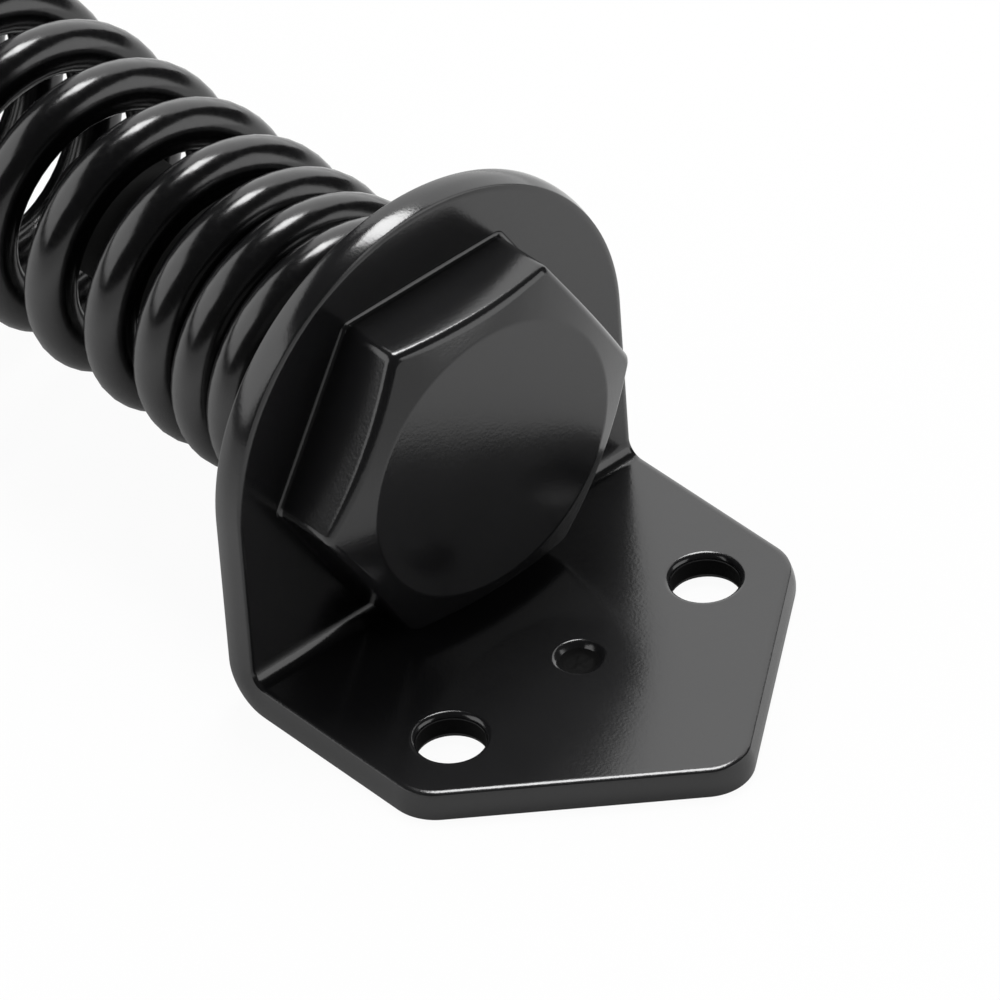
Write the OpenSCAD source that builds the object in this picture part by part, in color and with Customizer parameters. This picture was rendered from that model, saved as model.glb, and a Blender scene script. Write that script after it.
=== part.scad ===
// Gate spring closer: an open-wound torsion spring between two bent steel brackets.
// The gate bracket holds one end of the spring by a hex head that its own foot keeps from turning.
// The post bracket holds the other end by a collar, which a rod turns to wind the spring.
// X runs along the spring towards the gate bracket, Z stands up from the mounting faces.
// The origin lies midway between the gate bracket's screw holes, on its mounting face.

/* [Brackets] */
// Width of each bracket
bracket_w = 51.5; // [46:0.5:64]
// Thickness of the bracket steel
sheet_t = 3.2; // [2:0.1:4]
// Inside radius of the bend between foot and ear
bend_r = 1.6; // [0.8:0.1:2.4]
// Height of the round ear above the spring's axis
ear_rise = 26; // [22:0.5:34]
// Straight side of the foot, measured from the ear
foot_side_l = 24.3; // [20:0.1:40]
// Length of the foot's point beyond its straight sides
foot_point_l = 20.4; // [12:0.1:30]
// Radius where a side meets the slanted edge of the point
foot_corner_r = 5.5; // [1:0.5:8]
// Radius of the foot's tip
foot_tip_r = 5; // [1:0.5:10]

/* [Screw holes] */
// Distance between a bracket's two screw holes
screw_spacing = 34; // [28:0.5:38]
// Diameter of a screw hole
screw_d = 7; // [5:0.1:9]
// Distance of the screw holes from the ear
screw_setback = 20; // [16:0.5:26]
// Diameter of the punch that leaves the dimple between the holes
dimple_d = 6; // [3:0.5:8]
// Depth of that dimple
dimple_depth = 0.8; // [0.4:0.1:1.2]

/* [Hex anchor] */
// Width of the hex head across its flats
hex_af = 35; // [32:0.5:44]
// Height of the hex head
hex_h = 9; // [6:0.5:14]
// Diameter of the flat round face on the hex head
hex_face_d = 30.4; // [26:0.2:31]
// Drop of the chamfer from that face to the hex corners
hex_chamfer = 1.9; // [0.5:0.1:3]
// Diameter of the shanks that pass through the ears
shank_d = 14; // [10:0.5:16]
// Length of the hex anchor's shank beyond its spring cone, where it guides the spring
guide_l = 31; // [0:1:60]

/* [Spring] */
// Outside diameter of the spring
spring_od = 31.4; // [30:0.2:32]
// Diameter of the spring wire
wire_d = 5; // [4:0.1:5.4]
// Length of the spring between the two spring cones
spring_l = 240; // [180:5:320]
// Tight turns that grip each spring cone
dead_turns = 3; // [2:1:5]
// Gap between the tight turns
dead_gap = 0.45; // [0.45:0.05:1]
// Turns over which the pitch opens out
ramp_turns = 1; // [1:1:2]
// Open turns in the middle
open_turns = 20; // [15:1:23]
// Angle of the wire's gate end, from +Y towards +Z
tip_angle = 125; // [0:5:355]

/* [Spring cones] */
// Thickness of a cone's flange
flange_t = 2.5; // [1.5:0.1:5]
// Width of the flange's rim outside the spring
flange_lip = 0.6; // [0.2:0.1:0.8]
// Length of the tapered lead at a cone's inner end
cone_lead = 3; // [1:0.5:5]
// Width of the stop that the wire's end bears on
stop_w = 3; // [2:0.5:5]
// Diameter of the pin across cone and shank
cross_pin_d = 4; // [3:0.5:6]

/* [Winding collar] */
// Length of the collar
collar_l = 13; // [10:0.5:18]
// Chamfer on the collar's edges
collar_chamfer = 1.2; // [0.4:0.1:2]
// Height of the collar above the foot
collar_lift = 0.8; // [0.5:0.1:2]
// Number of rod holes round the collar
rod_holes = 6; // [4:1:8]
// Diameter of a rod hole
rod_hole_d = 5; // [4:0.1:6]
// Depth of a rod hole
rod_hole_l = 8; // [6:0.5:9]
// Thickness of the two bearing washers on the post ear
washer_t = 1; // [0.8:0.1:2]
// Width of the bearing washers' rings
washer_band = 7; // [5:0.5:7.5]
// Length of lock pin that stands out past the foot's edge
pin_overhang = 3.5; // [1:0.5:6]
// Chamfer on the ends of the pins
pin_chamfer = 0.6; // [0.2:0.1:1]

/* [Clearances] */
// Gap between the hex head's lower flat and the foot
key_gap = 1.5; // [0.3:0.1:2]
// Gap between faces that turn past each other, and at the wire's ends
side_gap = 0.3; // [0.2:0.1:0.5]
// Radial gap of a shank in its ear
journal_gap = 0.08; // [0.02:0.01:0.1]
// Radial gap of pieces that are fixed in one another
fixed_gap = 0.03; // [0.01:0.01:0.05]
// Radial gap of the lock pin in a rod hole
pin_gap = 0.1; // [0.05:0.01:0.1]
// Radial gap between a spring cone and the tight turns
grip_gap = 0.3; // [0.2:0.05:0.6]

/* [Hidden] */
$fn = 64;
// Overrun of a cutting shape past the face it cuts
cut = 1;

coat_black = [0.07, 0.07, 0.075];
spring_black = [0.04, 0.04, 0.045];
cone_grey = [0.32, 0.33, 0.35];
zinc = [0.72, 0.73, 0.75];
nylon = [0.88, 0.87, 0.82];

// The hex head stands on the foot, which sets the height of the spring's axis
axis_h = sheet_t + key_gap + hex_af / 2;
ear_r = bracket_w / 2;
ear_centre_h = axis_h + ear_rise - ear_r;
bend_top = sheet_t + bend_r;
shank_r = shank_d / 2;
ear_hole_r = shank_r + journal_gap;

coil_r = (spring_od - wire_d) / 2;
dead_pitch = wire_d + dead_gap;
total_turns = 2 * (dead_turns + ramp_turns) + open_turns;
first_coil = side_gap + wire_d / 2;
coil_span = spring_l - 2 * first_coil;
open_pitch = (coil_span - dead_pitch * (2 * dead_turns + ramp_turns)) / (open_turns + ramp_turns);
rings_per_turn = 12;
wire_sides = 6;

flange_r = spring_od / 2 + flange_lip;
// The wire runs straight from ring to ring, so it comes nearest to the axis between two rings
cone_r = (spring_od / 2 - wire_d) * cos(180 / rings_per_turn) - grip_gap;
cone_l = first_coil + dead_turns * dead_pitch;
shank_end = sheet_t + flange_t + cone_l - cone_lead;
cross_pin_at = flange_t + (cone_l - cone_lead) / 2;

collar_r = axis_h - sheet_t - collar_lift;
collar_back = washer_t + side_gap;
collar_mid = collar_back + collar_l / 2;
washer_r = shank_r + journal_gap + washer_band;
rod_hole_floor = collar_r - rod_hole_l;
foot_edge_r = norm([bracket_w / 2, axis_h - sheet_t]);
lock_pin_tip = foot_edge_r + pin_overhang;

// Places along X: the gate cone, the spring's first end and the post bracket's ear
gate_cone_x = -screw_setback - sheet_t;
spring_x = gate_cone_x - flange_t;
post_cone_x = spring_x - spring_l - flange_t;
post_ear_x = post_cone_x - side_gap - washer_t - sheet_t;
post_tip_angle = 180 - tip_angle - 360 * total_turns;

// Each end has its own frame: x = 0 on the ear's outer face, +x towards the foot's tip
module at_gate_end() {
  translate([-screw_setback, 0, 0]) children();
}

module at_post_end() {
  translate([post_ear_x, 0, 0]) rotate([0, 0, 180]) children();
}

module on_axis() {
  translate([0, 0, axis_h]) children();
}

module along_x() {
  rotate([0, 90, 0]) children();
}

// Round bar with chamfered ends, from z = 0 up
module chamfered_bar(r, length, chamfer) {
  rotate_extrude()
    polygon([[0, 0], [r - chamfer, 0], [r, chamfer], [r, length - chamfer], [r - chamfer, length],
             [0, length]]);
}

// Five-sided foot with rounded corners, pointing along +x
module foot_outline() {
  half_w = bracket_w / 2;
  slant = atan2(half_w, foot_point_l);
  slant_dir = [cos(slant), -sin(slant)];
  trim = foot_corner_r * tan(slant / 2);
  corner = [foot_side_l, half_w];
  side_end = corner - [trim, 0];
  slant_start = corner + trim * slant_dir;
  tip_centre = foot_side_l + foot_point_l - foot_tip_r / sin(slant);
  tip_tangent = [tip_centre + foot_tip_r * sin(slant), foot_tip_r * cos(slant)];
  upper = [[bend_r, half_w], side_end, slant_start, tip_tangent];
  lower = [for (i = [3:-1:0]) [upper[i].x, -upper[i].y]];
  polygon(concat(upper, lower));
  for (side = [-1, 1])
    translate([side_end.x, side * (half_w - foot_corner_r)]) circle(foot_corner_r);
  translate([tip_centre, 0]) circle(foot_tip_r);
}

module ear_outline() {
  translate([-bracket_w / 2, bend_top]) square([bracket_w, ear_centre_h - bend_top]);
  intersection() {
    translate([0, ear_centre_h]) circle(ear_r);
    translate([-ear_r, ear_centre_h]) square([2 * ear_r, ear_r]);
  }
}

module bend() {
  translate([bend_r, 0, bend_top])
    rotate([90, 0, 0])
      rotate([0, 0, 180])
        rotate_extrude(angle = 90)
          translate([bend_r, -bracket_w / 2]) square([sheet_t, bracket_w]);
}

module bracket() {
  difference() {
    union() {
      linear_extrude(sheet_t) foot_outline();
      bend();
      translate([-sheet_t, 0, 0]) rotate([90, 0, 90]) linear_extrude(sheet_t) ear_outline();
    }
    for (side = [-1, 1])
      translate([screw_setback, side * screw_spacing / 2, -cut])
        cylinder(d = screw_d, h = sheet_t + 2 * cut);
    translate([screw_setback, 0, sheet_t + dimple_d / 2 - dimple_depth]) sphere(d = dimple_d);
    on_axis() along_x() translate([0, 0, -sheet_t - cut]) cylinder(r = ear_hole_r, h = sheet_t + 2 * cut);
  }
}

// Hex prism along +x with flats above and below, chamfered to a round face
module hex_head() {
  corner_r = hex_af / 2 / cos(30);
  along_x()
    intersection() {
      rotate([0, 0, 30]) cylinder(r = corner_r, h = hex_h, $fn = 6);
      rotate_extrude()
        polygon([[0, 0], [corner_r, 0], [corner_r, hex_h - hex_chamfer], [hex_face_d / 2, hex_h],
                 [0, hex_h]]);
    }
}

// Edge cut off the hex head's lower flat, to clear the bend of the bracket
module bend_relief() {
  relief = max(bend_r - key_gap, 0) + side_gap;
  translate([0, bracket_w / 2, -hex_af / 2])
    rotate([90, 0, 0])
      linear_extrude(bracket_w)
        polygon([[-cut, -cut], [relief + cut, -cut], [-cut, relief + cut]]);
}

// Shank from x = start back through the ear into its spring cone, drilled for the cross pin
module shank(start, reach, pin_at) {
  difference() {
    along_x() translate([0, 0, -reach]) cylinder(r = shank_r, h = reach + start);
    translate([-pin_at, 0, -shank_r - cut])
      cylinder(d = cross_pin_d + 2 * fixed_gap, h = 2 * (shank_r + cut));
  }
}

// Stop beside the end of the wire, square to the wire's straight run
module wire_stop(angle) {
  stop_face = wire_d + side_gap;
  stop_l = first_coil + wire_d / 4;
  rotate([angle, 0, 0])
    intersection() {
      translate([-flange_t - stop_l, cone_r / 2, -stop_face - stop_w])
        cube([stop_l + flange_t / 2, flange_r, stop_w]);
      along_x()
        translate([0, 0, -flange_t - stop_l - cut])
          cylinder(d = spring_od, h = flange_t + stop_l + cut);
    }
}

// Flanged cone that the tight turns grip: x = 0 on the flange's back, the spring lies at -x
module spring_cone(angle) {
  difference() {
    union() {
      along_x() translate([0, 0, -flange_t]) cylinder(r = flange_r, h = flange_t);
      along_x() translate([0, 0, -flange_t - cone_l + cone_lead]) cylinder(r = cone_r, h = cone_l - cone_lead);
      along_x()
        translate([0, 0, -flange_t - cone_l])
          cylinder(r1 = (shank_r + cone_r) / 2, r2 = cone_r, h = cone_lead);
      wire_stop(angle);
    }
    along_x()
      translate([0, 0, -flange_t - cone_l - cut])
        cylinder(r = shank_r + fixed_gap, h = flange_t + cone_l + 2 * cut);
    translate([-cross_pin_at, 0, -cone_r - cut])
      cylinder(d = cross_pin_d + 2 * fixed_gap, h = 2 * (cone_r + cut));
  }
}

module cone_pin() {
  pin_l = 2 * (cone_r - pin_chamfer);
  translate([-cross_pin_at, 0, -pin_l / 2]) chamfered_bar(cross_pin_d / 2, pin_l, pin_chamfer);
}

// Distance along the spring after a number of turns, up to its middle
function lead_in(turns) =
  let (ramp = min(max(turns - dead_turns, 0), ramp_turns))
  let (open = max(turns - dead_turns - ramp_turns, 0))
  dead_pitch * (turns - open) + (open_pitch - dead_pitch) * ramp * ramp / (2 * ramp_turns)
  + open_pitch * open;

// The second half of the spring mirrors the first
function coil_advance(turns) =
  turns <= total_turns / 2 ? lead_in(turns) : coil_span - lead_in(total_turns - turns);

function coil_centre(turns) =
  let (angle = tip_angle + 360 * turns)
  [spring_x - first_coil - coil_advance(turns), coil_r * cos(angle), axis_h + coil_r * sin(angle)];

// Ring of wire points round a centre, in the plane of the radius and the spring's axis
function wire_ring(centre, angle) =
  [for (i = [0:wire_sides - 1])
    let (round_wire = 360 * i / wire_sides)
    centre + wire_d / 2 * [-sin(round_wire), cos(round_wire) * cos(angle), cos(round_wire) * sin(angle)]];

function run_dir(angle) = [0, -sin(angle), cos(angle)];

ring_count = total_turns * rings_per_turn;
end_angle = tip_angle + 360 * total_turns;
coil_centres = [for (i = [0:ring_count]) coil_centre(i / rings_per_turn)];
wire_centres = concat([coil_centres[0] - wire_d * run_dir(tip_angle)], coil_centres,
                      [coil_centres[ring_count] + wire_d * run_dir(end_angle)]);
wire_angles = concat([tip_angle], [for (i = [0:ring_count]) tip_angle + 360 * i / rings_per_turn], [end_angle]);

// Left-hand spring: one unbroken wire with a short straight run at each end
module closer_spring() {
  rings = [for (i = [0:len(wire_centres) - 1]) wire_ring(wire_centres[i], wire_angles[i])];
  last = (len(rings) - 1) * wire_sides;
  sides = [for (i = [0:len(rings) - 2], k = [0:wire_sides - 1])
    let (a = i * wire_sides + k)
    let (b = i * wire_sides + (k + 1) % wire_sides)
    each [[a, a + wire_sides, b], [b, a + wire_sides, b + wire_sides]]];
  caps = [for (k = [1:wire_sides - 2]) each [[0, k, k + 1], [last, last + k + 1, last + k]]];
  color(spring_black)
    polyhedron(points = [for (ring = rings) each ring], faces = concat(sides, caps), convexity = 12);
}

// Least clear gap between a turn of wire and the turns near it
wire_gap = min([for (i = [0:len(wire_centres) - 1])
  for (j = [i + rings_per_turn / 2:min(i + 2 * rings_per_turn, len(wire_centres) - 1)])
    norm(wire_centres[i] - wire_centres[j])]) - wire_d;
echo(least_gap_in_spring_mm = wire_gap);

module gate_bracket() {
  color(coat_black) at_gate_end() bracket();
}

module post_bracket() {
  color(coat_black) at_post_end() bracket();
}

module hex_anchor() {
  color(coat_black)
    at_gate_end()
      on_axis()
        difference() {
          union() {
            hex_head();
            shank(cut, shank_end + guide_l, sheet_t + cross_pin_at);
          }
          bend_relief();
        }
}

module gate_cone() {
  color(cone_grey) translate([gate_cone_x, 0, axis_h]) spring_cone(tip_angle);
}

module gate_cone_pin() {
  color(zinc) translate([gate_cone_x, 0, axis_h]) cone_pin();
}

module post_cone() {
  color(cone_grey) translate([post_cone_x, 0, axis_h]) rotate([0, 0, 180]) spring_cone(post_tip_angle);
}

module post_cone_pin() {
  color(zinc) translate([post_cone_x, 0, axis_h]) rotate([0, 0, 180]) cone_pin();
}

// Collar with a ring of rod holes, and the shank that turns in the post ear
module winding_collar() {
  cone_offset = sheet_t + washer_t + side_gap;
  color(coat_black)
    at_post_end()
      on_axis() {
        difference() {
          translate([collar_back, 0, 0]) along_x() chamfered_bar(collar_r, collar_l, collar_chamfer);
          for (i = [0:rod_holes - 1])
            translate([collar_mid, 0, 0])
              rotate([360 * i / rod_holes, 0, 0])
                translate([0, 0, rod_hole_floor]) cylinder(d = rod_hole_d, h = rod_hole_l + cut);
        }
        shank(collar_back + cut, cone_offset + flange_t + cone_l - cone_lead, cone_offset + cross_pin_at);
      }
}

module bearing_washer() {
  along_x()
    difference() {
      cylinder(r = washer_r, h = washer_t);
      translate([0, 0, -cut]) cylinder(r = shank_r + journal_gap, h = washer_t + 2 * cut);
    }
}

module inner_washer() {
  color(nylon) at_post_end() on_axis() translate([-sheet_t - washer_t, 0, 0]) bearing_washer();
}

module outer_washer() {
  color(nylon) at_post_end() on_axis() bearing_washer();
}

// Pin that stands in the top rod hole and stops the collar against the foot's edge
module lock_pin() {
  pin_foot = rod_hole_floor + pin_gap;
  color(zinc)
    at_post_end()
      on_axis()
        translate([collar_mid, 0, pin_foot])
          chamfered_bar(rod_hole_d / 2 - pin_gap, lock_pin_tip - pin_foot, pin_chamfer);
}

gate_bracket();
hex_anchor();
gate_cone();
gate_cone_pin();
closer_spring();
post_cone();
post_cone_pin();
winding_collar();
inner_washer();
outer_washer();
post_bracket();
lock_pin();
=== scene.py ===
import math

import bmesh
import bpy
from mathutils import Matrix, Vector, noise


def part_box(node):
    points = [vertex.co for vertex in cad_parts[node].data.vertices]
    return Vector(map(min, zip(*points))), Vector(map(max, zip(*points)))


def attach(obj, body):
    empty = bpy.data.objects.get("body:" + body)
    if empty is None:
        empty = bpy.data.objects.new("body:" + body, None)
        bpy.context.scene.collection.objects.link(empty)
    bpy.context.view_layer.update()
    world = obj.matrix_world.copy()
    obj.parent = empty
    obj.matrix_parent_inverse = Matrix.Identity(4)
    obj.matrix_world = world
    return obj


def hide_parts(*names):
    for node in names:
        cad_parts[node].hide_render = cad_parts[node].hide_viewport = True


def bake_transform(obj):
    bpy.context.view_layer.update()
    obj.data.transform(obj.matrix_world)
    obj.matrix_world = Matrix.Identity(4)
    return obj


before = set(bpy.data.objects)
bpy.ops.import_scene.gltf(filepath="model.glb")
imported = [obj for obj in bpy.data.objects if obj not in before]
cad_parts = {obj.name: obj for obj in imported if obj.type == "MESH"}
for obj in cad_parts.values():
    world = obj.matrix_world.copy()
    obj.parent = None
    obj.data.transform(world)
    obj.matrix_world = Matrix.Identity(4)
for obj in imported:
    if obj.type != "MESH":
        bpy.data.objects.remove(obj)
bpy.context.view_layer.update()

mm = 0.001
scene = bpy.context.scene
scene.view_settings.view_transform = "Standard"
print("frame loaded:", len(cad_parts), "nodes")


# Camera, set to the photograph's own viewing angle
cameraView = {"turn": 50.69, "tilt": 39.29, "roll": -4.28, "aim": (-10, 0, 20), "slide": (-0.12, -1.9),
              "distance": 1181.21, "lens": 432, "sensor": 36}


def addCamera(view):
    turn, tilt, roll = (math.radians(view[k]) for k in ("turn", "tilt", "roll"))
    back = Vector((math.sin(turn) * math.cos(tilt), -math.cos(turn) * math.cos(tilt), math.sin(tilt)))
    level = Vector((math.cos(turn), math.sin(turn), 0))
    upright = back.cross(level)
    right = level * math.cos(roll) + upright * math.sin(roll)
    up = upright * math.cos(roll) - level * math.sin(roll)
    across, rise = view["slide"]
    place = Vector(view["aim"]) + right * across + up * rise + back * view["distance"]
    camera = bpy.data.objects.new("photoCamera", bpy.data.cameras.new("photoCamera"))
    camera.data.lens = view["lens"]
    camera.data.sensor_width = view["sensor"]
    axes = Matrix((right, up, back)).transposed().to_4x4()
    camera.matrix_world = Matrix.Translation(place * mm) @ axes
    scene.collection.objects.link(camera)
    scene.camera = camera


addCamera(cameraView)
print("camera set")


def toLinear(hexColour):
    levels = [int(hexColour[i:i + 2], 16) / 255 for i in (1, 3, 5)]
    return [v / 12.92 if v <= 0.04045 else ((v + 0.055) / 1.055) ** 2.4 for v in levels] + [1]


def perMm(size):
    return 1 / (size * mm)  # texture scale for a feature of that many millimetres


def addNode(tree, kind, sockets=None, links=None, **settings):
    node = tree.nodes.new(kind)
    for key, value in settings.items():
        setattr(node, key, value)
    for key, value in (sockets or {}).items():
        node.inputs[key].default_value = value
    for key, source in (links or {}).items():
        tree.links.new(source, node.inputs[key])
    return node


def newMaterial(name):
    material = bpy.data.materials.new(name)
    material.use_nodes = True
    tree = material.node_tree
    tree.nodes.clear()
    return material, tree


# Powder coat, sprayed and baked: an even satin black with a fine orange peel that breaks up its reflections
powderCoat = {"name": "powderCoatedSteel", "dark": "#131314", "light": "#181819", "roughness": (0.15, 0.2),
              "cloudMm": 9, "cloudDetail": 3, "grains": [(0.3, 0.007, 1), (1.3, 0.004, 1)],
              "sockets": {"Metallic": 0, "IOR": 1.58, "Specular IOR Level": 0.5}}
# Where the gun can't reach, inside the spring and the holes, the powder lies thin: a dull black with no gloss. Its
# darker colour is painted shade for those recesses and the dimple floor.
dryCoatPaintedShade = {"name": "dryPowderedSteelPaintedShade", "dark": "#060606", "light": "#0a0a0a", "roughness": (0.7, 0.8),
           "cloudMm": 5, "cloudDetail": 3, "grains": [(0.3, 0.02, 1), (0.8, 0.01, 1)],
           "sockets": {"Metallic": 0, "IOR": 1.58, "Specular IOR Level": 0.12}}
# Dip-coated spring wire: a deep gloss black, drawn into faint long ripples, with a little dust in it
wireCoat = {"name": "glossCoatedSpringWire", "dark": "#060607", "light": "#0b0b0c", "roughness": (0.17, 0.24),
            "cloudMm": 0.7, "cloudDetail": 4, "cloudSpread": (0.35, 0.75), "grains": [(4, 0.03, 2)],
            "sockets": {"Metallic": 0, "IOR": 1.58}}
# Die-cast zinc, left as cast: mid grey metal, dull and finely pebbled, darker where it was handled
castZinc = {"name": "castZinc", "dark": "#46484b", "light": "#6a6c70", "roughness": (0.42, 0.6),
            "cloudMm": 6, "cloudDetail": 5, "grains": [(0.5, 0.03, 3)], "sockets": {"Metallic": 1}}
# Zinc-plated turned steel: bright grey metal with a milky bloom and turning lines, drawn coarse enough to show
zincPlate = {"name": "zincPlatedSteel", "dark": "#9a9ea3", "light": "#c4c7cb", "roughness": (0.24, 0.36),
             "cloudMm": 3, "cloudDetail": 4, "lineMm": 1.131, "lineRise": 0.004, "lineWobble": 1.5,
             "sockets": {"Metallic": 1}}
# Moulded natural nylon: milky cream with a soft sheen
nylonLook = {"name": "mouldedNylon", "dark": "#d5d0bf", "light": "#e4e0d2", "roughness": (0.38, 0.5),
             "cloudMm": 5, "cloudDetail": 3, "grains": [(0.4, 0.006, 1)], "sockets": {"Metallic": 0, "IOR": 1.53}}


# Each finish is clouded in colour and gloss, and has a relief of grains: (size in mm, rise in mm, detail)
def makeFinish(look):
    material, tree = newMaterial(look["name"])
    where = addNode(tree, "ShaderNodeTexCoord").outputs["Object"]
    cloud = addNode(tree, "ShaderNodeTexNoise", {"Scale": perMm(look["cloudMm"]), "Detail": look["cloudDetail"]},
                    {"Vector": where}).outputs["Fac"]
    tint = addNode(tree, "ShaderNodeValToRGB", None, {"Fac": cloud})
    tint.color_ramp.elements[0].color = toLinear(look["dark"])
    tint.color_ramp.elements[1].color = toLinear(look["light"])
    least, most = look.get("cloudSpread", (0, 1))
    low, high = look["roughness"]
    gloss = addNode(tree, "ShaderNodeMapRange",
                    {"From Min": least, "From Max": most, "To Min": low, "To Max": high}, {"Value": cloud})
    reliefs = []
    for size, rise, detail in look.get("grains", []):
        grain = addNode(tree, "ShaderNodeTexNoise", {"Scale": perMm(size), "Detail": detail}, {"Vector": where})
        reliefs.append((grain, rise))
    if "lineMm" in look:
        wavesPerUnit = 20 / (2 * math.pi)  # bands of the wave texture at scale 1
        lines = addNode(tree, "ShaderNodeTexWave",
                        {"Scale": perMm(look["lineMm"]) / wavesPerUnit, "Distortion": look["lineWobble"]},
                        {"Vector": where}, wave_type="BANDS", bands_direction="Z")
        reliefs.append((lines, look["lineRise"]))
    normal = {}
    for texture, rise in reliefs:
        bump = addNode(tree, "ShaderNodeBump", {"Strength": 1, "Distance": rise * mm},
                       {"Height": texture.outputs["Fac"], **normal})
        normal = {"Normal": bump.outputs[0]}
    shader = addNode(tree, "ShaderNodeBsdfPrincipled", look["sockets"],
                     {"Base Color": tint.outputs[0], "Roughness": gloss.outputs[0], **normal})
    addNode(tree, "ShaderNodeOutputMaterial", None, {"Surface": shader.outputs[0]})
    return material


coatedSteel = makeFinish(powderCoat)
dryCoatedSteelPaintedShade = makeFinish(dryCoatPaintedShade)
coatedWire = makeFinish(wireCoat)
castMetal = makeFinish(castZinc)
platedSteel = makeFinish(zincPlate)
nylon = makeFinish(nylonLook)
print("materials made:", len(bpy.data.materials))


# Mesh helpers: all shapes are drawn in millimetres in their own frame
def joinRings(shape, first, second, surface=0):
    for i in range(max(len(first), len(second))):
        corners = [first[i % len(first)], first[(i + 1) % len(first)],
                   second[(i + 1) % len(second)], second[i % len(second)]]
        shape.faces.new(list(dict.fromkeys(corners))).material_index = surface


def softened(path, radius, closed=False, steps=4):
    line = [Vector(p) for p in path]
    ring = line[-1:] + line + line[:1] if closed else line
    result = [] if closed else [line[0]]
    mostOfSide = 0.45  # so that the curves of two corners never meet
    for before, corner, after in zip(ring, ring[1:], ring[2:]):
        inward, outward = before - corner, after - corner
        start = corner + inward.normalized() * min(radius, inward.length * mostOfSide)
        end = corner + outward.normalized() * min(radius, outward.length * mostOfSide)
        for k in range(steps + 1):
            t = k / steps
            result.append(start * (1 - t) ** 2 + corner * 2 * t * (1 - t) + end * t ** 2)
    return result if closed else result + [line[-1]]


def turnedRing(shape, along, radius, steps):
    if radius < 1e-6:
        return [shape.verts.new((along, 0, 0))]
    angles = [2 * math.pi * i / steps for i in range(steps)]
    return [shape.verts.new((along, radius * math.cos(a), radius * math.sin(a))) for a in angles]


def turned(shape, profile, steps=96, closed=False):
    rings = [turnedRing(shape, along, radius, steps) for along, radius in profile]
    for first, second in zip(rings, rings[1:] + rings[:1] if closed else rings[1:]):
        joinRings(shape, first, second)


def makePiece(name, shape, place, *materials):
    bmesh.ops.remove_doubles(shape, verts=shape.verts[:], dist=1e-4)
    bmesh.ops.recalc_face_normals(shape, faces=shape.faces[:])
    shape.transform(Matrix.Scale(mm, 4) @ place)
    mesh = bpy.data.meshes.new(name)
    shape.to_mesh(mesh)
    shape.free()
    mesh.shade_smooth()
    for material in materials:
        mesh.materials.append(material)
    piece = bpy.data.objects.new(name, mesh)
    scene.collection.objects.link(piece)
    return piece


def fitPiece(piece, info):
    even = piece.modifiers.new("evenFlats", "WEIGHTED_NORMAL")  # keeps flats flat beside rounded edges
    even.keep_sharp = True
    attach(piece, info["body"])
    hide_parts(info["node"])


# Brackets: one flat blank with rounded rims, folded up at its bend
# (a rim is a row of arcs from the flat over the edge: radius, and degrees turned by its end)
bracketSize = {"width": 51.5, "sheet": 3.2, "bend": 1.6, "earTop": 48.2, "side": 24.3, "point": 20.4,
               "cornerR": 5.5, "tipR": 5, "holeAt": 20, "holeGap": 34, "holeR": 3.5, "earHoleR": 7.08,
               "axisHeight": 22.2, "bendSteps": 12, "rim": [(1.3, 30), (0.08, 72), (12, 77), (4.2, 90)],
               "backRim": [(0.25, 80), (4.2, 90)], "holeRim": [(0.7, 90)], "earHoleRim": [(0.2, 90)]}
gateBracket = {"node": "gate_bracket", "body": "gate", "slot": "bracket_coat"}
postBracket = {"node": "post_bracket", "body": "post", "slot": "bracket_coat"}
bendLength = (bracketSize["bend"] + bracketSize["sheet"] / 2) * math.pi / 2
# the thin coat is painted shade: hole walls and the dimple's floor are made darker than the coat
fullCoat, thinCoatPaintedShade = 0, 1  # order of a bracket's materials


def arcPoints(centre, radius, fromDegrees, toDegrees, steps):
    angles = [math.radians(fromDegrees + (toDegrees - fromDegrees) * i / steps) for i in range(steps + 1)]
    return [(centre + radius * math.cos(a), radius * math.sin(a), math.cos(a), math.sin(a)) for a in angles]


# Outline of the blank, anticlockwise, as (along, across, outward direction): the bend meets the foot at 0
def blankOutline(size):
    half = size["width"] / 2
    slant = math.atan2(half, size["point"])
    lean = math.degrees(slant)
    side = size["side"] - size["bend"]
    cornerAt = side - size["cornerR"] * math.tan(slant / 2)
    tipAt = side + size["point"] - size["tipR"] / math.sin(slant)
    earAt = -bendLength - (size["earTop"] - half - size["sheet"] - size["bend"])
    inset = half - size["cornerR"]
    lower = [(s, y - inset, a, b) for s, y, a, b in arcPoints(cornerAt, size["cornerR"], -90, lean - 90, 10)]
    upper = [(s, y + inset, a, b) for s, y, a, b in arcPoints(cornerAt, size["cornerR"], 90 - lean, 90, 10)]
    tip = arcPoints(tipAt, size["tipR"], lean - 90, 90 - lean, 16)
    return lower + tip + upper + arcPoints(earAt, half, 90, 270, 90)


def roundHole(along, across, radius, steps=48):
    angles = [-2 * math.pi * i / steps for i in range(steps)]
    return [(along + radius * math.cos(a), across + radius * math.sin(a), -math.cos(a), -math.sin(a))
            for a in angles]


# Section of a rim from its flat inwards, as (inset, depth): arcs that turn the surface over to upright
def rimSection(arcs, steps=5):
    inset, depth, tilt, points = 0, 0, 0, [(0, 0)]
    for radius, turnTo in arcs:
        for k in range(1, steps + 1):
            a = math.radians(tilt + (turnTo - tilt) * k / steps)
            b = math.radians(tilt + (turnTo - tilt) * (k - 1) / steps)
            inset -= radius * (math.sin(a) - math.sin(b))
            depth += radius * (math.cos(b) - math.cos(a))
            points.append((inset, depth))
        tilt = turnTo
    return [(i - inset, d) for i, d in points]


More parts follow.
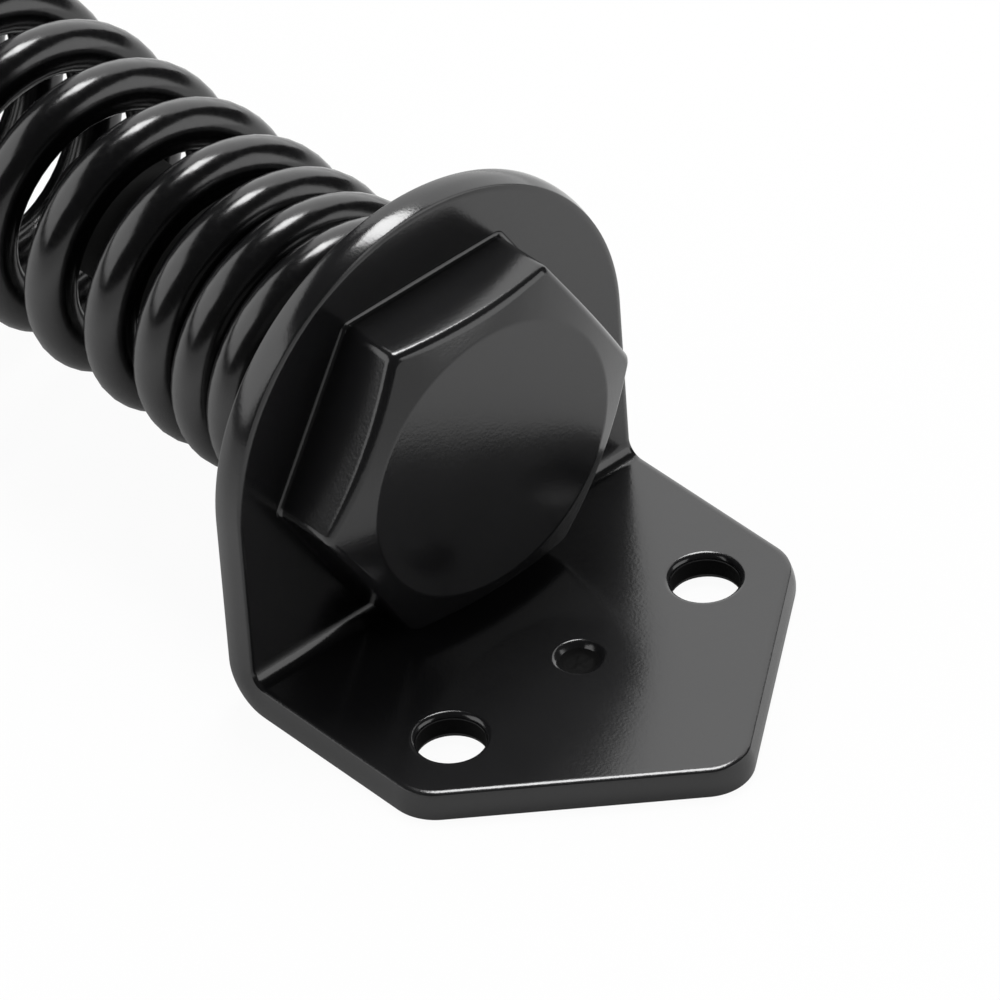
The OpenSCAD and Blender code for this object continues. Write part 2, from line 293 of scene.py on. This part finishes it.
def rimRings(shape, loop, upperArcs, lowerArcs, sheet, wall=fullCoat):
    upper = rimSection(upperArcs)
    lower = [(inset, sheet - depth) for inset, depth in reversed(rimSection(lowerArcs))]
    rings = [[shape.verts.new((s - a * inset, y - b * inset, -depth)) for s, y, a, b in loop]
             for inset, depth in upper + lower]
    for k, (first, second) in enumerate(zip(rings, rings[1:]), 1):
        joinRings(shape, first, second, wall if k == len(upper) else fullCoat)
    return rings[0], rings[-1]


# A punch mark with a sharp lip, a steep wall and a lumpy floor, where the powder lies thin; its inner rings take
# the darker coat as painted shade
dimple = {"radius": 2.8, "wall": 1.5, "depth": 1, "steps": 36, "rings": 14, "ragged": 0.05, "raggedWaves": 1.3,
          "raggedFrom": (0, 0, 4.2), "lumps": 0.3, "lumpWaves": 1.4, "lumpsFrom": (3.1, 0.4, 7)}


def dimpleMouth(shape, along, info):
    radius, wall, steps, rings = info["radius"], info["wall"], info["steps"], info["rings"]
    levels = []
    for k in range(rings):
        share = 1 - k / rings
        down = min(1, radius * (1 - share) / wall)
        sink = info["depth"] * down * down * (3 - 2 * down)
        ring = []
        for i in range(steps):
            a = 2 * math.pi * i / steps
            around = Vector((math.cos(a), math.sin(a), 0))
            out = around * radius * share
            ragged = 1 + info["ragged"] * noise.noise(around * info["raggedWaves"] + Vector(info["raggedFrom"]))
            lumps = info["lumps"] * noise.noise(out * info["lumpWaves"] + Vector(info["lumpsFrom"])) * (1 - share)
            ring.append(shape.verts.new((along + out.x * ragged, out.y * ragged, -sink * (1 + lumps))))
        levels.append(ring)
    for k, (first, second) in enumerate(zip(levels, levels[1:])):
        joinRings(shape, first, second, thinCoatPaintedShade if radius * k / rings > wall / 2 else fullCoat)
    joinRings(shape, levels[-1], [shape.verts.new((along, 0, -info["depth"]))], thinCoatPaintedShade)
    return levels[0]


def fillCap(shape, loops):
    edges = [shape.edges.get((v, loop[(i + 1) % len(loop)])) for loop in loops for i, v in enumerate(loop)]
    bmesh.ops.triangle_fill(shape, use_beauty=True, edges=edges, normal=(0, 0, 1))


# A point of the blank goes to its place on the folded bracket: x = 0 on the ear's outer face
def folded(point, size):
    along, across, depth = point.x, point.y, -point.z
    if along >= 0:
        return Vector((size["bend"] + along, across, size["sheet"] - depth))
    if along <= -bendLength:
        return Vector((-depth, across, size["sheet"] + size["bend"] - along - bendLength))
    turn = -along / bendLength * math.pi / 2
    reach = size["bend"] + depth
    return Vector((size["bend"] - reach * math.sin(turn), across,
                   size["sheet"] + size["bend"] - reach * math.cos(turn)))


def bracketShape(size):
    shape = bmesh.new()
    holeAt = size["holeAt"] - size["bend"]
    earHoleAt = -bendLength - (size["axisHeight"] - size["sheet"] - size["bend"])
    loops = [rimRings(shape, blankOutline(size), size["rim"], size["backRim"], size["sheet"])]
    for side in (-1, 1):
        loop = roundHole(holeAt, side * size["holeGap"] / 2, size["holeR"])
        # the hole walls take the thin coat, darker as painted shade
        loops.append(rimRings(shape, loop, size["holeRim"], size["holeRim"], size["sheet"], thinCoatPaintedShade))
    earHole = roundHole(earHoleAt, 0, size["earHoleR"])
    loops.append(rimRings(shape, earHole, size["earHoleRim"], size["earHoleRim"], size["sheet"]))
    mouth = dimpleMouth(shape, holeAt, dimple)
    fillCap(shape, [upper for upper, lower in loops] + [mouth])
    fillCap(shape, [lower for upper, lower in loops])
    for k in range(size["bendSteps"] + 1):
        cut = Vector((-bendLength * k / size["bendSteps"], 0, 0))
        everything = shape.verts[:] + shape.edges[:] + shape.faces[:]
        bmesh.ops.bisect_plane(shape, geom=everything, plane_co=cut, plane_no=(1, 0, 0))
    for vert in shape.verts:
        vert.co = folded(vert.co, size)
    return shape


# Each end has its own frame: x = 0 on the ear's outer face, +x towards the foot's tip
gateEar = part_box("gate_bracket")[0].x / mm + bracketSize["sheet"]
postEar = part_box("post_bracket")[1].x / mm - bracketSize["sheet"]
gateEnd = Matrix.Translation((gateEar, 0, 0))
postEnd = Matrix.Translation((postEar, 0, 0)) @ Matrix.Rotation(math.pi, 4, "Z")
axisLift = Matrix.Translation((0, 0, bracketSize["axisHeight"]))

for name, place, info in (("gateBracket", gateEnd, gateBracket), ("postBracket", postEnd, postBracket)):
    fitPiece(makePiece(name, bracketShape(bracketSize), place, coatedSteel, dryCoatedSteelPaintedShade), info)
print("brackets folded")


# Hex anchor: a chamfered hex head with softened edges, and the shank through the ear that guides the spring
hexAnchor = {"node": "hex_anchor", "body": "gate", "slot": "bracket_coat", "acrossFlats": 35, "height": 9,
             "faceR": 15.2, "chamfer": 1.9, "cornerR": 1.2, "edgeR": 1.3, "faceEdgeR": 1.2, "baseR": 0.55,
             "relief": 0.4, "faceRings": (0.8, 0.55, 0.28)}
guideShank = {"node": "hex_anchor", "body": "gate", "slot": "bracket_coat", "radius": 7, "end": 52.85, "tuck": 0.2,
              "nose": 3, "noseShare": 0.7, "edge": 0.6}


def hexOutline(apothem, cornerR, flatSteps=16, cornerSteps=8):
    points = []
    for side in range(6):
        facing = math.radians(90 + 60 * side)
        normal = Vector((math.cos(facing), math.sin(facing)))
        along = Vector((-normal.y, normal.x))
        straight = (apothem - cornerR) * math.tan(math.pi / 6)
        points += [normal * apothem + along * straight * (2 * k / flatSteps - 1) for k in range(flatSteps)]
        middle = normal * (apothem - cornerR) + along * straight
        for k in range(cornerSteps):
            turn = facing + math.pi / 3 * k / cornerSteps
            points.append(middle + Vector((math.cos(turn), math.sin(turn))) * cornerR)
    return points


# Section through the head at one direction, from the ear to the round face, as (height, distance from the axis)
def hexSection(reach, info):
    tipR = info["acrossFlats"] / 2 / math.cos(math.pi / 6)
    slope = math.atan2(info["chamfer"], tipR - info["faceR"])
    edgeAt = info["height"] - (reach - info["faceR"]) * math.tan(slope)
    edgeTrim = info["edgeR"] * math.tan((math.pi / 2 - slope) / 2)
    faceTrim = info["faceEdgeR"] * math.tan(slope / 2)
    baseR, edgeR, faceEdgeR = info["baseR"], info["edgeR"], info["faceEdgeR"]
    baseSteps, flatSteps, edgeSteps, faceSteps = 5, 4, 6, 4
    quarter = [math.pi / 2 * k / baseSteps for k in range(baseSteps + 1)]
    section = [(baseR * (1 - math.cos(a)), reach + baseR * (1 - math.sin(a))) for a in quarter]
    section += [(baseR + (edgeAt - edgeTrim - baseR) * k / flatSteps, reach) for k in range(1, flatSteps)]
    for k in range(edgeSteps + 1):
        a = (math.pi / 2 - slope) * k / edgeSteps
        section.append((edgeAt - edgeTrim + edgeR * math.sin(a), reach - edgeR + edgeR * math.cos(a)))
    for k in range(faceSteps + 1):
        a = math.pi / 2 - slope + slope * k / faceSteps
        section.append((info["height"] - faceEdgeR + faceEdgeR * math.sin(a),
                        info["faceR"] - faceTrim + faceEdgeR * math.cos(a)))
    return section + [(info["height"], info["faceR"] * share) for share in info["faceRings"]]


def hexHead(shape, info):
    columns = []
    for point in hexOutline(info["acrossFlats"] / 2, info["cornerR"]):
        reach = point.length
        columns.append([(height, point * (out / reach)) for height, out in hexSection(reach, info)])
    rings = []
    for level in range(len(columns[0])):
        ring = []
        for column in columns:
            height, spot = column[level]
            floor = -info["acrossFlats"] / 2 + max(0, info["relief"] - height)  # clears the bracket's bend
            ring.append(shape.verts.new((height, spot.x, max(spot.y, floor))))
        rings.append(ring)
    for first, second in zip(rings, rings[1:]):
        joinRings(shape, first, second)
    joinRings(shape, rings[-1], [shape.verts.new((info["height"], 0, 0))])
    joinRings(shape, rings[0], [shape.verts.new((0, 0, 0))])


hexShape = bmesh.new()
hexHead(hexShape, hexAnchor)
fitPiece(makePiece("hexAnchor", hexShape, gateEnd @ axisLift, coatedSteel), hexAnchor)

shankShape = bmesh.new()
shankR, shankEnd, nose = guideShank["radius"], guideShank["end"], guideShank["nose"]
shankPath = [(-guideShank["tuck"], 0), (-guideShank["tuck"], shankR), (nose - shankEnd, shankR),
             (-shankEnd, shankR - nose * guideShank["noseShare"]), (-shankEnd, 0)]
turned(shankShape, softened(shankPath, guideShank["edge"]))
# the shank inside the spring takes the dry coat, whose darker colour is painted shade
fitPiece(makePiece("guideShank", shankShape, gateEnd @ axisLift, dryCoatedSteelPaintedShade), guideShank)
print("hex anchor made")


# Closer spring: one left-hand wire, tight at its ends and open between
closerSpring = {"node": "closer_spring", "slot": "spring_coat", "wire": 5.44, "coilR": 13.2, "length": 240,
                "firstCoil": 2.8, "tightTurns": 2.5, "tightPitch": 5.45, "rampTurns": 2, "openTurns": 19,
                "lean": 2.8, "leanSide": 45, "leanFrom": 2, "leanOver": 2, "setBack": 0.25, "tipAngle": 125,
                "endRun": 4.5, "endSteps": 4, "endRound": 0.5, "stepsPerTurn": 48, "sides": 24}
springCone = {"flange": 2.5, "flangeR": 16.3, "gripR": 10, "lead": 3, "leadR": 8.5, "boreR": 7.03, "ridge": 1.1,
              "ridgeWidth": 1.3, "stopFace": 5.3, "stopWidth": 3, "stopLength": 4.05, "stopR": 15.7,
              "stopRoot": 0.6, "stopEdge": 0.4, "edge": 0.5, "steps": 144, "gripTurns": 3, "threadStep": 0.4,
              "fadeFrom": 0.4, "fadeIn": 1.5, "fadeOut": 2}
firstCoil = closerSpring["firstCoil"]
springTurns = 2 * (closerSpring["tightTurns"] + closerSpring["rampTurns"]) + closerSpring["openTurns"]
coneLength = firstCoil + springCone["gripTurns"] * closerSpring["tightPitch"]
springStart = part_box("gate_cone")[1].x / mm - springCone["flange"]


def coilCentre(turns, info):
    span = info["length"] - 2 * firstCoil
    tight, ramp = info["tightPitch"], info["rampTurns"]
    openPitch = (span - tight * (2 * info["tightTurns"] + ramp)) / (info["openTurns"] + ramp)
    near = min(turns, springTurns - turns)
    ramped = min(max(near - info["tightTurns"], 0), ramp)
    opened = max(near - info["tightTurns"] - ramp, 0)
    advance = tight * (near - opened) + (openPitch - tight) * ramped ** 2 / (2 * ramp) + openPitch * opened
    along = springStart - firstCoil - (advance if near == turns else span - advance)
    angle = math.radians(info["tipAngle"] + 360 * turns)
    facing = math.cos(angle - math.radians(info["leanSide"]))
    tipped = math.tan(math.radians(info["lean"])) * info["coilR"] * facing
    along -= (info["setBack"] + tipped) * min(max((near - info["leanFrom"]) / info["leanOver"], 0), 1)
    return Vector((along, info["coilR"] * math.cos(angle),
                   bracketSize["axisHeight"] + info["coilR"] * math.sin(angle)))


def wirePath(info):
    count = round(springTurns * info["stepsPerTurn"])
    path = [coilCentre(i / info["stepsPerTurn"], info) for i in range(count + 1)]
    for turns, way in ((0, -1), (springTurns, 1)):  # a short straight run at each end
        angle = math.radians(info["tipAngle"] + 360 * turns)
        run = Vector((0, -math.sin(angle), math.cos(angle))) * way
        tip = path[0] if way < 0 else path[-1]
        added = [tip + run * info["endRun"] * (k + 1) / info["endSteps"] for k in range(info["endSteps"])]
        path = added[::-1] + path if way < 0 else path + added
    return path


def wireShape(info):
    shape = bmesh.new()
    path = wirePath(info)
    radius = info["wire"] / 2
    rings = []
    side = Vector((1, 0, 0))
    for i, centre in enumerate(path):
        ahead = (path[min(i + 1, len(path) - 1)] - path[max(i - 1, 0)]).normalized()
        side = (side - ahead * side.dot(ahead)).normalized()
        other = ahead.cross(side)
        levels = [(0, radius)]
        if i in (0, len(path) - 1):  # rounded edge on each cut end
            out = -1 if i == 0 else 1
            soft = info["endRound"]
            levels = [(out * soft * math.sin(a), radius - soft * (1 - math.cos(a)))
                      for a in (0, math.pi / 6, math.pi / 3, math.pi / 2)]
            levels = levels[::-1] if i == 0 else levels
        for shift, r in levels:
            ring = []
            for k in range(info["sides"]):
                a = 2 * math.pi * k / info["sides"]
                spot = centre + ahead * shift + (side * math.cos(a) + other * math.sin(a)) * r
                ring.append(shape.verts.new(spot))
            rings.append(ring)
    for first, second in zip(rings, rings[1:]):
        joinRings(shape, first, second)
    for ring in (rings[0], rings[-1]):
        middle = sum((v.co for v in ring), Vector()) / len(ring)
        joinRings(shape, ring, [shape.verts.new(middle)])
    return shape


springPiece = makePiece("closerSpring", wireShape(closerSpring), Matrix.Identity(4), coatedWire)
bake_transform(springPiece)
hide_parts(closerSpring["node"])
print("spring wound:", len(springPiece.data.vertices), "points")


# Spring cones: a flange, a cast thread between the tight turns and a stop beside the wire's end
gateCone = {"node": "gate_cone", "body": "gate", "slot": "cast_cone", "tipAngle": closerSpring["tipAngle"]}
postCone = {"node": "post_cone", "body": "winder", "slot": "cast_cone",
            "tipAngle": 180 - closerSpring["tipAngle"] - 360 * springTurns}


def threadRise(along, angle, tipAngle, cone):
    turns = (-along - cone["flange"] - firstCoil) / closerSpring["tightPitch"]
    phase = (turns - (math.degrees(angle) - tipAngle) / 360) % 1
    off = abs(phase - 0.5) * closerSpring["tightPitch"] / cone["ridgeWidth"]
    fade = min(1, max(0, (-along - cone["flange"] - cone["fadeFrom"]) / cone["fadeIn"]))
    fade *= min(1, max(0, (along + cone["flange"] + coneLength - cone["lead"]) / cone["fadeOut"]))
    return cone["ridge"] * fade * (0.5 + 0.5 * math.cos(math.pi * min(off, 1)))


def onGrip(radius, cone):
    return abs(radius - cone["gripR"]) < 0.01  # the part of the cone that carries the thread


def coneShape(cone, tipAngle):
    shape = bmesh.new()
    gripEnd = -cone["flange"] - coneLength + cone["lead"]
    end = -cone["flange"] - coneLength
    path = [(0, cone["boreR"]), (0, cone["flangeR"]), (-cone["flange"], cone["flangeR"]),
            (-cone["flange"], cone["gripR"]), (gripEnd, cone["gripR"]), (end, cone["leadR"]),
            (end, cone["boreR"])]
    profile = softened(path, cone["edge"], closed=True)
    dense = []
    for here, after in zip(profile, profile[1:] + profile[:1]):
        pieces = max(1, round((after - here).length / cone["threadStep"])) if onGrip(here.y, cone) else 1
        dense += [here.lerp(after, k / pieces) for k in range(pieces)]
    rings = []
    for along, radius in dense:
        ring = []
        for i in range(cone["steps"]):
            a = 2 * math.pi * i / cone["steps"]
            r = radius + (threadRise(along, a, tipAngle, cone) if onGrip(radius, cone) else 0)
            ring.append(shape.verts.new((along, r * math.cos(a), r * math.sin(a))))
        rings.append(ring)
    for first, second in zip(rings, rings[1:] + rings[:1]):
        joinRings(shape, first, second)
    addWireStop(shape, cone, tipAngle)
    return shape


def addWireStop(shape, cone, tipAngle):
    face, outer, root = cone["stopFace"], cone["stopR"], cone["gripR"] * cone["stopRoot"]
    far = -face - cone["stopWidth"]
    block = bmesh.new()
    arcSteps = 6
    heights = [-face + (far + face) * k / arcSteps for k in range(arcSteps + 1)]
    outline = [(math.sqrt(outer ** 2 - z ** 2), z) for z in heights] + [(root, far), (root, -face)]
    span = (-cone["flange"] / 2, -cone["flange"] - cone["stopLength"])
    ends = [[block.verts.new((x, y, z)) for y, z in outline] for x in span]
    joinRings(block, *ends)
    for end in ends:
        block.faces.new(end)
    bmesh.ops.recalc_face_normals(block, faces=block.faces[:])
    sharpAngle = 0.5  # radians, above the steps of the arc
    sharp = [e for e in block.edges if e.calc_face_angle(0) > sharpAngle]
    bmesh.ops.bevel(block, geom=sharp, offset=cone["stopEdge"], segments=3, profile=0.5, affect="EDGES")
    block.transform(Matrix.Rotation(math.radians(tipAngle), 4, "X"))
    copies = {v: shape.verts.new(v.co) for v in block.verts}
    for f in block.faces:
        shape.faces.new([copies[v] for v in f.verts])
    block.free()


gateConePlace = gateEnd @ Matrix.Translation((-bracketSize["sheet"], 0, 0)) @ axisLift
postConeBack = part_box("post_cone")[0].x / mm
postConePlace = Matrix.Translation((postConeBack, 0, 0)) @ Matrix.Rotation(math.pi, 4, "Z") @ axisLift
for name, place, info in (("gateCone", gateConePlace, gateCone), ("postCone", postConePlace, postCone)):
    fitPiece(makePiece(name, coneShape(springCone, info["tipAngle"]), place, castMetal), info)
print("spring cones cast")


# Cross pins through cone and shank, with peened ends
crossPin = {"radius": 2, "half": 9.8, "dome": 0.35, "domeShare": 0.6, "edge": 0.5, "steps": 40}
gatePin = {"node": "gate_cone_pin", "body": "gate", "slot": "zinc_steel"}
postPin = {"node": "post_cone_pin", "body": "winder", "slot": "zinc_steel"}
upright = Matrix.Rotation(-math.pi / 2, 4, "Y")  # turns a piece drawn along x to stand along z


def crossPinShape(pin):
    shape = bmesh.new()
    half, radius, dome, share = pin["half"], pin["radius"], pin["dome"], pin["domeShare"]
    path = [(-half - dome, 0), (-half - dome * share, radius * share), (-half, radius),
            (half, radius), (half + dome * share, radius * share), (half + dome, 0)]
    turned(shape, softened(path, pin["edge"]), pin["steps"])
    return shape


for name, info in (("gateConePin", gatePin), ("postConePin", postPin)):
    low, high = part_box(info["node"])
    place = Matrix.Translation((low + high) / 2 / mm) @ upright
    fitPiece(makePiece(name, crossPinShape(crossPin), place, platedSteel), info)
print("cross pins set")


# Winding collar: a ring of rod holes with rounded mouths, and the shank that turns in the post ear
windingCollar = {"node": "winding_collar", "body": "winder", "slot": "bracket_coat", "radius": 18.2, "length": 13,
                 "back": 1.3, "chamfer": 1.2, "edge": 0.6, "edgeShare": 0.9, "faceRing": 0.6, "holes": 6,
                 "holeR": 2.5, "holeRim": 0.45, "holeFloor": 10.2, "shankR": 7, "shankEnd": 23.15,
                 "shankEdge": 0.6, "tuck": 0.2, "sideSteps": 12, "patchRings": (0, 0.3, 0.55, 0.75, 0.9, 1),
                 "rimAngles": (0.4, 0.8, 1.2, math.pi / 2), "floorRings": ((1, 0.4), (0.85, 0.05), (0.4, 0))}


def rodHolePatch(shape, info, facing):
    radius, holeR, rim = info["radius"], info["holeR"], info["holeRim"]
    steps, halfArc = info["sideSteps"], math.pi / info["holes"]
    halfLength = info["length"] / 2 - info["chamfer"] - info["edge"]
    middle = info["back"] + info["length"] / 2
    outward = Vector((0, math.cos(facing), math.sin(facing)))
    sideways = Vector((0, -math.sin(facing), math.cos(facing)))
    border = []
    for side in range(4):
        for k in range(steps):
            t = 2 * k / steps - 1
            border.append(((t, -1), (1, t), (-t, 1), (-1, -t))[side])
    rings = []
    angles = [math.radians(225 + 90 * i / steps) for i in range(4 * steps)]
    mouthR = holeR + rim
    for share in info["patchRings"]:
        ring = []
        for (u, v), a in zip(border, angles):
            turn = u * halfArc * (1 - share) + math.asin(mouthR * math.cos(a) / radius) * share
            along = v * halfLength * (1 - share) + mouthR * math.sin(a) * share
            spot = outward * math.cos(turn) * radius + sideways * math.sin(turn) * radius
            ring.append(shape.verts.new((middle + along, spot.y, spot.z)))
        rings.append(ring)
    inner = [(holeR + rim * (1 - math.sin(b)), rim * (1 - math.cos(b))) for b in info["rimAngles"]]
    floors = [(holeR * share, lift) for share, lift in info["floorRings"]]
    for r, drop in inner:
        ring = []
        for a in angles:
            t = r * math.cos(a)
            spot = outward * (math.sqrt(radius ** 2 - t ** 2) - drop) + sideways * t
            ring.append(shape.verts.new((middle + r * math.sin(a), spot.y, spot.z)))
        rings.append(ring)
    for r, lift in floors:
        ring = []
        for a in angles:
            spot = outward * (info["holeFloor"] + lift) + sideways * r * math.cos(a)
            ring.append(shape.verts.new((middle + r * math.sin(a), spot.y, spot.z)))
        rings.append(ring)
    for first, second in zip(rings, rings[1:]):
        joinRings(shape, first, second)
    bottom = outward * info["holeFloor"]
    joinRings(shape, rings[-1], [shape.verts.new((middle, bottom.y, bottom.z))])


def collarShape(info):
    shape = bmesh.new()
    for i in range(info["holes"]):
        rodHolePatch(shape, info, math.pi / 2 + 2 * math.pi * i / info["holes"])
    middle = info["back"] + info["length"] / 2
    half, cut, radius = info["length"] / 2, info["chamfer"], info["radius"]
    start = half - cut - info["edge"]
    for way in (-1, 1):
        end = middle + way * half
        path = [(middle + way * start, radius), (middle + way * (half - cut), radius),
                (end, radius - cut), (end, radius * info["faceRing"]), (end, 0)]
        turned(shape, softened(path, info["edge"] * info["edgeShare"]), info["holes"] * info["sideSteps"])
    root, tip, shankR = info["back"] - info["tuck"], -info["shankEnd"], info["shankR"]
    turned(shape, softened([(root, 0), (root, shankR), (tip, shankR), (tip, 0)], info["shankEdge"]))
    return shape


fitPiece(makePiece("windingCollar", collarShape(windingCollar), postEnd @ axisLift, coatedSteel), windingCollar)
print("winding collar made")


# Bearing washers on both faces of the post ear, and the lock pin in the top rod hole
washerSize = {"innerR": 7.08, "outerR": 14.08, "thick": 1, "edge": 0.3}
innerWasher = {"node": "inner_washer", "body": "post", "slot": "nylon"}
outerWasher = {"node": "outer_washer", "body": "post", "slot": "nylon"}
lockPin = {"node": "lock_pin", "body": "pin", "slot": "zinc_steel", "radius": 2.4, "chamfer": 0.6, "edge": 0.4,
           "steps": 48}

for name, info in (("innerWasher", innerWasher), ("outerWasher", outerWasher)):
    low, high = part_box(info["node"])
    shape = bmesh.new()
    inner, outer, thick = washerSize["innerR"], washerSize["outerR"], washerSize["thick"]
    path = [(0, inner), (0, outer), (thick, outer), (thick, inner)]
    turned(shape, softened(path, washerSize["edge"], closed=True), closed=True)
    place = Matrix.Translation((low.x / mm, 0, 0)) @ axisLift
    fitPiece(makePiece(name, shape, place, nylon), info)

low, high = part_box(lockPin["node"])
pinShape = bmesh.new()
pinLength = (high.z - low.z) / mm
pinR, pinCut = lockPin["radius"], lockPin["chamfer"]
pinPath = [(0, 0), (0, pinR - pinCut), (pinCut, pinR), (pinLength - pinCut, pinR),
           (pinLength, pinR - pinCut), (pinLength, 0)]
turned(pinShape, softened(pinPath, lockPin["edge"]), lockPin["steps"])
pinPlace = Matrix.Translation(((low.x + high.x) / 2 / mm, (low.y + high.y) / 2 / mm, low.z / mm)) @ upright
fitPiece(makePiece("lockPin", pinShape, pinPlace, platedSteel), lockPin)
print("washers and lock pin made")


# White studio floor that shows as white to the camera and in reflections, with painted shade in those reflections,
# and keeps a faint shadow
studioFloor = {"size": 6, "drop": 0.05, "colour": "#ececec", "glow": 0.95, "shadeReach": 0.05, "shadePower": 1.6,
               "shadeSamples": 8, "bright": 1.1, "dim": 0.7, "dimSide": (0.78, -0.63, 0), "dimFrom": -0.02,
               "dimTo": 0.09}


def addFloor(look):
    shape = bmesh.new()
    bmesh.ops.create_grid(shape, x_segments=8, y_segments=8, size=look["size"])
    mesh = bpy.data.meshes.new("studioFloor")
    shape.to_mesh(mesh)
    shape.free()
    floor = bpy.data.objects.new("studioFloor", mesh)
    scene.collection.objects.link(floor)
    floor.location.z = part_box("gate_bracket")[0].z - look["drop"] * mm
    material, tree = newMaterial("whitePaperSweep")
    path = addNode(tree, "ShaderNodeLightPath")
    seen = addNode(tree, "ShaderNodeMath", None, {0: path.outputs["Is Camera Ray"],
                                                  1: path.outputs["Is Transmission Ray"]}, operation="MAXIMUM")
    plain = addNode(tree, "ShaderNodeMath", {1: look["glow"]}, {0: seen.outputs[0]}, operation="MULTIPLY")
    share = addNode(tree, "ShaderNodeMath", None, {0: plain.outputs[0], 1: path.outputs["Is Glossy Ray"]},
                    operation="MAXIMUM")
    # in reflections the paper's glow carries painted shade: darkened close to the object by occlusion, and falling
    # off from brighter to dimmer towards the camera
    near = addNode(tree, "ShaderNodeAmbientOcclusion", {"Distance": look["shadeReach"]},
                   samples=look["shadeSamples"])
    clear = addNode(tree, "ShaderNodeMath", {1: look["shadePower"]}, {0: near.outputs["AO"]}, operation="POWER")
    spot = addNode(tree, "ShaderNodeTexCoord")
    side = addNode(tree, "ShaderNodeVectorMath", {1: look["dimSide"]}, {0: spot.outputs["Object"]},
                   operation="DOT_PRODUCT")
    fall = addNode(tree, "ShaderNodeMapRange", {"From Min": look["dimFrom"], "From Max": look["dimTo"],
                                                "To Min": look["bright"], "To Max": look["dim"]},
                   {"Value": side.outputs["Value"]})
    mirrored = addNode(tree, "ShaderNodeMath", None, {0: clear.outputs[0], 1: fall.outputs[0]},
                       operation="MULTIPLY")
    less = addNode(tree, "ShaderNodeMath", {1: 1}, {0: mirrored.outputs[0]}, operation="SUBTRACT")
    level = addNode(tree, "ShaderNodeMath", {2: 1}, {0: path.outputs["Is Glossy Ray"], 1: less.outputs[0]},
                    operation="MULTIPLY_ADD")
    paper = addNode(tree, "ShaderNodeBsdfDiffuse", {"Color": toLinear(look["colour"])})
    glow = addNode(tree, "ShaderNodeEmission", {"Color": (1, 1, 1, 1)}, {"Strength": level.outputs[0]})
    mixed = addNode(tree, "ShaderNodeMixShader", None,
                    {0: share.outputs[0], 1: paper.outputs[0], 2: glow.outputs[0]})
    addNode(tree, "ShaderNodeOutputMaterial", None, {"Surface": mixed.outputs[0]})
    mesh.materials.append(material)


# Softboxes: direction from the object, distance and size in metres, and brightness of the panel
lampAim = Vector((-0.05, 0, 0.02))  # between the hex head and the first open turns
roomLevel = 0.06
softboxes = {
    "keySoftbox": {"toward": (-0.196, 0.28, 0.94), "away": 1.2, "size": (0.42, 0.42), "bright": 17},
    "backPanel": {"toward": (-0.531, 0.705, 0.47), "away": 1.4, "size": (1.43, 1.55), "bright": 1.65},
    "rightPanel": {"toward": (0.775, 0.542, 0.326), "away": 1.2, "size": (1.02, 0.83), "bright": 1.8},
    "leftPanel": {"toward": (-0.585, -0.627, 0.515), "away": 1.2, "size": (1.74, 0.95), "bright": 1.8},
}


def addSoftbox(name, look):
    lamp = bpy.data.lights.new(name, "AREA")
    lamp.shape = "RECTANGLE"
    lamp.size, lamp.size_y = look["size"]
    lamp.energy = look["bright"] * math.pi * lamp.size * lamp.size_y
    box = bpy.data.objects.new(name, lamp)
    toward = Vector(look["toward"]).normalized()
    box.location = toward * look["away"] + lampAim
    box.rotation_euler = toward.to_track_quat("Z", "Y").to_euler()
    box.visible_camera = False
    scene.collection.objects.link(box)


def setRoom(level):
    world = scene.world or bpy.data.worlds.new("studio")
    scene.world = world
    world.use_nodes = True
    tree = world.node_tree
    tree.nodes.clear()
    room = addNode(tree, "ShaderNodeBackground", {"Color": (level, level, level, 1), "Strength": 1})
    addNode(tree, "ShaderNodeOutputWorld", None, {"Surface": room.outputs[0]})


addFloor(studioFloor)
for name, look in softboxes.items():
    addSoftbox(name, look)
setRoom(roomLevel)
print("studio lit")
